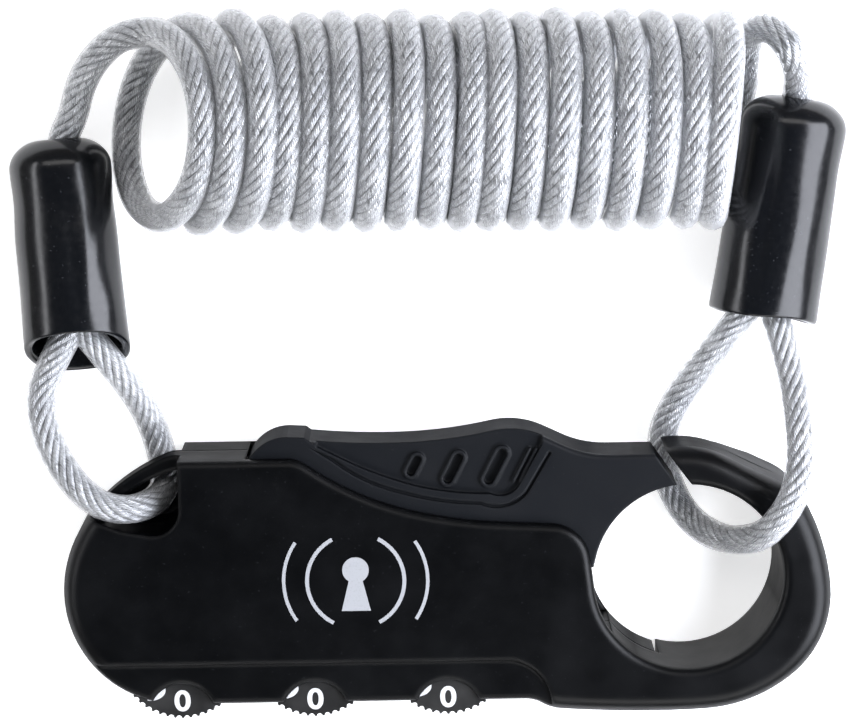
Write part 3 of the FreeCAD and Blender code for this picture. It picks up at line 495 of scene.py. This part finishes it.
# How far each turn leans to the right at its front, which faces up, and to the left at its back.
FRONT_LEANS = (
    6.5, 4.95, 4.1, 2.6, 1.85, 1.4, 1.15, 1.0, 0.9, 0.85, 0.8, 0.75, 0.75, 0.7, 0.7, 0.7, 0.4, -0.9,
)
BACK_LEANS = (
    6.4, 1.8, 1.4, 1.2, 1.0, 0.9, 0.8, 0.8, 0.8, 0.8, 0.7, 0.7, 0.7, 0.7, 0.7, 0.7, 0.7, -0.5,
)
# Half of how far a turn's near side lies to the left of its far side, and how much that grows per turn
# over the last turns.
TURN_TILT = 1.3
END_TILT = 0.8
END_TURNS = 1.5
# The share of the last turn that is wound before the right lead leaves it.
LAST_TURN_SHARE = 0.75


def sleeve_axes(ends):
    """Closed end, direction across, direction up and direction along a sleeve."""
    start = Vector(ends[0])
    along = (Vector(ends[1]) - start).normalized()
    across = Vector((0.0, 0.0, 1.0)).cross(along).normalized()
    return start, across, along.cross(across), along


def in_sleeve(ends, across, along):
    """The point this far across and along a sleeve, level with its axis."""
    start, side, _, down = sleeve_axes(ends)
    return tuple(start + side * across + down * along)


def between(values, position):
    """Value at a position between the numbered ones."""
    index = min(int(position), len(values) - 2)
    share = position - index
    return values[index] * (1.0 - share) + values[index + 1] * share


def coil_points():
    """Turns that lie side by side, first loose and leaning, then close together."""
    turns = len(TURN_FAR_SIDES) - 1
    sizes = (*TURN_SIZES, TURN_SIZES[-1])
    count = int((turns - 1 + LAST_TURN_SHARE) * POINTS_PER_TURN)
    points = []
    for step in range(count + 1):
        position = step / POINTS_PER_TURN
        angle = CIRCLE * position
        share = position / turns
        far_x = between(TURN_FAR_SIDES, position)
        leans = FRONT_LEANS if math.sin(angle) > 0.0 else BACK_LEANS
        lean = leans[int(position)]
        tilt = TURN_TILT + END_TILT * max(0.0, position - turns + END_TURNS)
        radius = COIL_RADIUS + between(sizes, position)
        middle = COIL_Y_LEFT + (COIL_Y_RIGHT - COIL_Y_LEFT) * share
        x = far_x + lean * math.sin(angle) + tilt * (math.cos(angle) - 1.0)
        y = middle + radius * math.cos(angle)
        z = max(RESTING_HEIGHT, COIL_Z + radius * math.sin(angle))
        points.append((x, y, z))
    return points


def loop_route(ends, points):
    """A loop from one leg in the ferrule, round its points and back to the other leg."""
    half = 0.5 * LEG_SPACING
    spread = FERRULE_END + LEG_START
    return (
        in_sleeve(ends, half, FERRULE_END), in_sleeve(ends, half + LEG_SPREAD, spread), *points,
        in_sleeve(ends, -half - LEG_SPREAD, spread), in_sleeve(ends, -half, FERRULE_END),
    )


MAIN_ROUTE = (
    in_sleeve(LEFT_SLEEVE, 0.0, FERRULE_START), in_sleeve(LEFT_SLEEVE, LEFT_LEAD_SHIFT, LEAD_ENTRY),
    *LEFT_LEAD, *coil_points(), *RIGHT_LEAD,
    in_sleeve(RIGHT_SLEEVE, 0.0, LEAD_ENTRY), in_sleeve(RIGHT_SLEEVE, 0.0, FERRULE_START),
)


# ---------------------------------------------------------------- cables and their strands

CURVE_RESOLUTION = 4
COVER_RESOLUTION = 3
STRANDS = 8
STRAND_SIDES = 6
STRAND_STEP = 0.75 * MM
ROPE_LAY = 13.0 * MM
STRAND_CENTRES = 1.09 * MM
STRAND_RADIUS = 0.51 * MM
SHORTEST_STEP = 1e-12


def cable_curve(name, route):
    """Smooth curve whose control points are the route's points."""
    data = bpy.data.curves.new(name, "CURVE")
    data.dimensions = "3D"
    spline = data.splines.new("NURBS")
    spline.points.add(len(route) - 1)
    for target, point in zip(spline.points, route):
        target.co = (*millimetres(*point), 1.0)
    spline.order_u = 3
    spline.use_endpoint_u = True
    spline.resolution_u = CURVE_RESOLUTION
    return add_object(name, data)


def centreline(curve):
    """Points along a curve that has no thickness yet."""
    bpy.context.view_layer.update()
    depsgraph = bpy.context.evaluated_depsgraph_get()
    mesh = bpy.data.meshes.new_from_object(curve.evaluated_get(depsgraph))
    points = [vertex.co.copy() for vertex in mesh.vertices]
    bpy.data.meshes.remove(mesh)
    return points


def even_steps(points, step):
    """The same line with its points the same distance apart, and its length."""
    lengths = [0.0]
    for before, after in zip(points, points[1:]):
        lengths.append(lengths[-1] + (after - before).length)
    count = max(2, round(lengths[-1] / step))
    spaced = []
    index = 0
    for number in range(count + 1):
        wanted = lengths[-1] * number / count
        while index < len(points) - 2 and lengths[index + 1] < wanted:
            index += 1
        share = (wanted - lengths[index]) / max(SHORTEST_STEP, lengths[index + 1] - lengths[index])
        spaced.append(points[index].lerp(points[index + 1], share))
    return spaced, lengths[-1]


def frames_along(points):
    """Each point with two crosswise axes that are carried along without twisting."""
    frames = []
    side = None
    for index, point in enumerate(points):
        before = points[max(0, index - 1)]
        after = points[min(len(points) - 1, index + 1)]
        ahead = (after - before).normalized()
        if side is None:
            side = ahead.orthogonal().normalized()
        side = (side - ahead * side.dot(ahead)).normalized()
        frames.append((point, side, ahead.cross(side)))
    return frames


def on_circle(first, second, angle):
    """Direction at an angle from the first axis towards the second."""
    return first * math.cos(angle) + second * math.sin(angle)


def add_tube(form, lay, rings, lengths):
    """Skin over rings of vertices, with each corner's place round the strand and along it."""
    made = [[form.verts.new(point) for point in ring] for ring in rings]
    sides = len(rings[0])
    for index in range(len(rings) - 1):
        for side in range(sides):
            after = (side + 1) % sides
            face = form.faces.new((made[index][side], made[index][after], made[index + 1][after],
                                   made[index + 1][side]))
            face.smooth = True
            corners = ((side, index), (side + 1, index), (side + 1, index + 1), (side, index + 1))
            for loop, (round_place, row) in zip(face.loops, corners):
                loop[lay].uv = (round_place / sides, lengths[row])
    form.faces.new(list(reversed(made[0])))
    form.faces.new(made[-1])


def make_rope(name, points):
    """Strands laid right-handed round a cable's centreline."""
    spaced, length = even_steps(points, STRAND_STEP)
    frames = frames_along(spaced)
    lengths = [length * index / (len(spaced) - 1) for index in range(len(spaced))]
    form = bmesh.new()
    lay = form.loops.layers.uv.new("lay")
    for strand in range(STRANDS):
        rings = []
        for (point, side, up), travelled in zip(frames, lengths):
            turn = CIRCLE * (travelled / ROPE_LAY + strand / STRANDS)
            outwards = on_circle(side, up, turn)
            round_rope = on_circle(up, -side, turn)
            middle = point + outwards * STRAND_CENTRES
            ring = []
            for corner in range(STRAND_SIDES):
                # Half a circle on, so that the seam faces the middle of the rope.
                angle = CIRCLE * corner / STRAND_SIDES + math.pi
                ring.append(middle + on_circle(outwards, round_rope, angle) * STRAND_RADIUS)
            rings.append(ring)
        add_tube(form, lay, rings, lengths)
    rope = add_mesh(name, form, STRAND_STEEL)
    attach(rope, "lock_body")
    return rope


def make_cable(name, route, replaced):
    """A clear-covered cable with its strands inside, in place of the CAD pieces that it hides."""
    curve = cable_curve(name, route)
    points = centreline(curve)
    rope = make_rope(f"{name}_strands", points)
    curve.data.bevel_depth = 0.5 * CABLE * MM
    curve.data.bevel_resolution = COVER_RESOLUTION
    curve.data.use_fill_caps = True
    curve.data.materials.append(CLEAR_COVER)
    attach(curve, "lock_body")
    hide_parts(*replaced)


# ---------------------------------------------------------------- sleeves

SLEEVE_LENGTH = 25.5
SLEEVE_HALF_WIDTH = 5.9
SLEEVE_HALF_DEPTH = 5.3
SLEEVE_WALL = 1.1
SLEEVE_SIDES = 72
HOLE_RADIUS = 1.78
# The domed end is a quarter circle begun part of the way up, and a power below 1 makes it fuller. It
# stands out by its rise, which fades along the sleeve.
DOME_LENGTH = 3.6
DOME_RISE = 0.4
DOME_START = 0.2
DOME_POWER = 0.8
DOME_ROWS = 8
WALL_ROWS = 22
INNER_ROWS = 8
# The straight walls outside and inside stop this far short of the mouth, for the rounded lip.
OUTER_LIP = 0.5
INNER_LIP = 0.4
# How far from the closed end the inner wall stops, the dome's inside has narrowed and the hole begins.
INNER_WALL_END = 3.0
INNER_DOME = 2.5
INNER_HOLE = 1.6
INNER_NARROWING = 0.8
# How much each of these changes the section, as a share of it, and where along the sleeve it does so, as a
# share of its length. The crease's spread round the sleeve is in radians.
FLARE = 0.035
FLARE_START = 0.55
FLARE_RUN = 0.45
WAIST = 0.03
WAIST_PLACE = 0.30
WAIST_SPREAD = 0.10
CREASE = 0.035
CREASE_SPREAD_ROUND = 0.09
CREASE_PLACE = 0.6
CREASE_SPREAD_ALONG = 0.3
# The wall's smooth unevenness, which fades in over the first third of the length.
UNEVENNESS = 0.03
WAVES_ROUND = 2.2
WAVES_ALONG = 2.6
WAVES_FADE = 3.0
# The mouth's slant, lift and waviness, which fade in over the last part of the length.
RIM_START = 0.6
RIM_RUN = 0.4
RIM_WAVE = 0.18
RIM_WAVES = 3.0


def sleeve_profile():
    """Outside from the cable's hole over the dome to the mouth, then back up the inside.

    Each row is how far along the sleeve it lies and its share of the full section.
    """
    hole = HOLE_RADIUS / SLEEVE_HALF_WIDTH
    inside = 1.0 - SLEEVE_WALL / SLEEVE_HALF_WIDTH
    rows = []
    for step in range(DOME_ROWS + 1):
        angle = 0.5 * math.pi * (DOME_START + (1.0 - DOME_START) * step / DOME_ROWS)
        share = max(hole, math.sin(angle) ** DOME_POWER)
        rows.append((DOME_LENGTH * (1.0 - math.cos(angle)), share if step else hole))
    wall_run = SLEEVE_LENGTH - OUTER_LIP - DOME_LENGTH
    for step in range(1, WALL_ROWS + 1):
        rows.append((DOME_LENGTH + wall_run * step / WALL_ROWS, 1.0))
    # The rounded lip, from outside to inside.
    for setback, share in ((0.12, 0.99), (0.0, 0.95), (0.0, inside + 0.05), (0.15, inside + 0.01)):
        rows.append((SLEEVE_LENGTH - setback, share))
    inner_run = SLEEVE_LENGTH - INNER_LIP - INNER_WALL_END
    for step in range(1, INNER_ROWS + 1):
        rows.append((SLEEVE_LENGTH - INNER_LIP - inner_run * step / INNER_ROWS, inside))
    rows.append((INNER_DOME, INNER_NARROWING * inside))
    rows.append((INNER_HOLE, hole))
    return rows


def bell(value, middle, spread):
    """One at the middle, falling smoothly to nothing within about twice the spread."""
    return math.exp(-((value - middle) / spread) ** 2)


def make_sleeve(name, ends, replaced, half_width, crease_angle, mouth_slant, mouth_lift, seed):
    """A hollow dipped sleeve with a domed end, a waist, one long crease and an uneven open mouth."""
    start, across, up, along = sleeve_axes(ends)
    form = bmesh.new()
    rings = []
    for distance, share in sleeve_profile():
        down = distance / SLEEVE_LENGTH
        flare = 1.0 + FLARE * max(0.0, down - FLARE_START) / FLARE_RUN
        flare -= WAIST * bell(down, WAIST_PLACE, WAIST_SPREAD)
        ring = []
        for side in range(SLEEVE_SIDES):
            angle = CIRCLE * side / SLEEVE_SIDES
            wave = noise.noise(Vector((WAVES_ROUND * math.cos(angle), WAVES_ROUND * math.sin(angle),
                                       WAVES_ALONG * down + seed)))
            squeeze = 1.0 + UNEVENNESS * wave * min(1.0, WAVES_FADE * down)
            from_crease = math.remainder(angle - crease_angle, CIRCLE)
            crease = CREASE * bell(from_crease, 0.0, CREASE_SPREAD_ROUND)
            crease *= bell(down, CREASE_PLACE, CREASE_SPREAD_ALONG)
            size = share * flare * squeeze * (1.0 - crease)
            x = half_width * size * math.cos(angle)
            y = SLEEVE_HALF_DEPTH * size * math.sin(angle)
            ripple = RIM_WAVE * math.sin(RIM_WAVES * angle + seed)
            rim = -mouth_slant * math.sin(angle) - mouth_lift + ripple
            lengthwise = distance - DOME_RISE * (1.0 - down) + rim * max(0.0, down - RIM_START) / RIM_RUN
            ring.append(form.verts.new((start + across * x + up * y + along * lengthwise) * MM))
        rings.append(ring)
    for before, after in zip(rings, rings[1:] + rings[:1]):
        for side in range(SLEEVE_SIDES):
            other = (side + 1) % SLEEVE_SIDES
            face = form.faces.new((before[side], before[other], after[other], after[side]))
            face.smooth = True
    bmesh.ops.recalc_face_normals(form, faces=form.faces)
    sleeve = add_mesh(name, form, VINYL)
    smooth = sleeve.modifiers.new("smooth", "SUBSURF")
    smooth.levels = 1
    smooth.render_levels = 1
    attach(sleeve, "lock_body")
    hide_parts(replaced)


# ---------------------------------------------------------------- printed numbers and mark

# The dials' centres, and the height of the face that carries the digits.
DIAL_FIRST_X = -31.5
DIAL_PITCH = 15.7
DIAL_Y = -9.75
DIAL_FRONT = 10.3
DIGITS = 10
DIGIT_FROM_CENTRE = 5.45
DIGIT_SIZE = 3.5
DIGIT_WIDENING = 1.12
DIGIT_BOLDNESS = 0.085
# Height of the housing's front face, and the thickness of all printing.
PLATEAU = 12.0
PRINT_RISE = 0.05
MARK_CENTRE = (-10.7, -0.3)
# Outer radius, inner radius and half the opening angle in degrees of each pair of arcs.
MARK_ARCS = ((5.9, 5.45, 62.0), (8.6, 8.2, 34.0))
ARC_STEPS = 24
# The keyhole's round head: radius, height above the mark's centre and the angles in degrees that it spans.
KEYHOLE_RADIUS = 1.55
KEYHOLE_RISE = 1.3
KEYHOLE_ANGLES = (-58.0, 238.0)
# Half the width of the keyhole's foot, and how far it lies below the mark's centre.
KEYHOLE_FOOT = (1.7, 3.6)


def add_character(form, text, placing):
    """Adds a raised printed character to a mesh, placed by a matrix."""
    data = bpy.data.curves.new("character", "FONT")
    data.body = text
    data.size = DIGIT_SIZE * MM
    data.offset = DIGIT_BOLDNESS * MM
    data.extrude = 0.5 * PRINT_RISE * MM
    data.align_x = "CENTER"
    data.align_y = "CENTER"
    item = add_object("character", data)
    bpy.context.view_layer.update()
    depsgraph = bpy.context.evaluated_depsgraph_get()
    mesh = bpy.data.meshes.new_from_object(item.evaluated_get(depsgraph))
    mesh.transform(placing)
    form.from_mesh(mesh)
    bpy.data.objects.remove(item)
    bpy.data.meshes.remove(mesh)
    bpy.data.curves.remove(data)


def add_print(form, name, material, body):
    """A thin printed piece that moves with a body."""
    item = add_mesh(name, form, material)
    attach(item, body)


def make_dial_numbers(index, body):
    """Ten digits round one dial, with 0 in its window."""
    form = bmesh.new()
    centre = Matrix.Translation(millimetres(DIAL_FIRST_X + index * DIAL_PITCH, DIAL_Y, DIAL_FRONT))
    shift = Matrix.Translation(millimetres(0.0, -DIGIT_FROM_CENTRE, 0.0))
    widen = Matrix.Diagonal((DIGIT_WIDENING, 1.0, 1.0, 1.0))
    for number in range(DIGITS):
        turn = Matrix.Rotation(CIRCLE * number / DIGITS, 4, "Z")
        add_character(form, str(number), centre @ turn @ shift @ widen)
    add_print(form, f"dial_{index + 1}_numbers", WHITE_PRINT, body)


def flat_shape(form, outline):
    """Raises a thin printed shape from a closed outline in millimetres."""
    lower = [form.verts.new(millimetres(x, y, PLATEAU)) for x, y in outline]
    upper = [form.verts.new(millimetres(x, y, PLATEAU + PRINT_RISE)) for x, y in outline]
    form.faces.new(upper)
    form.faces.new(list(reversed(lower)))
    for index in range(len(outline)):
        after = (index + 1) % len(outline)
        form.faces.new((lower[index], lower[after], upper[after], upper[index]))


def arc(centre, radius, first, last):
    """Points round a centre from one angle to another, in degrees."""
    points = []
    for step in range(ARC_STEPS + 1):
        angle = math.radians(first + (last - first) * step / ARC_STEPS)
        points.append((centre[0] + radius * math.cos(angle), centre[1] + radius * math.sin(angle)))
    return points


def make_mark():
    """A keyhole between two pairs of arcs, as a plain generic print."""
    form = bmesh.new()
    for outer, inner, half_angle in MARK_ARCS:
        for facing in (0.0, 180.0):
            first = facing - half_angle
            last = facing + half_angle
            flat_shape(form, arc(MARK_CENTRE, outer, first, last) + arc(MARK_CENTRE, inner, last, first))
    x, y = MARK_CENTRE
    head = arc((x, y + KEYHOLE_RISE), KEYHOLE_RADIUS, *KEYHOLE_ANGLES)
    half_foot, drop = KEYHOLE_FOOT
    flat_shape(form, head + [(x - half_foot, y - drop), (x + half_foot, y - drop)])
    bmesh.ops.recalc_face_normals(form, faces=form.faces)
    add_print(form, "printed_mark", SILVER_PRINT, "lock_body")


# ---------------------------------------------------------------- building

make_camera()
make_world()
make_lights()
make_floor()
bpy.context.scene.view_settings.view_transform = "Standard"
finish_cad_nodes()
make_cable("coiled_cable", MAIN_ROUTE, ("cable_coil", "left_lead", "right_lead"))
make_cable("left_end_loop", loop_route(LEFT_SLEEVE, LEFT_LOOP), ("left_loop",))
make_cable("right_end_loop", loop_route(RIGHT_SLEEVE, RIGHT_LOOP), ("right_loop",))
make_sleeve("left_cap", LEFT_SLEEVE, "left_sleeve", half_width=5.95, crease_angle=1.37,
            mouth_slant=2.6, mouth_lift=0.9, seed=3.0)
make_sleeve("right_cap", RIGHT_SLEEVE, "right_sleeve", half_width=6.15, crease_angle=1.9,
            mouth_slant=0.5, mouth_lift=0.0, seed=8.0)
for dial_index, dial_body in enumerate(("first_dial", "second_dial", "third_dial")):
    make_dial_numbers(dial_index, dial_body)
make_mark()
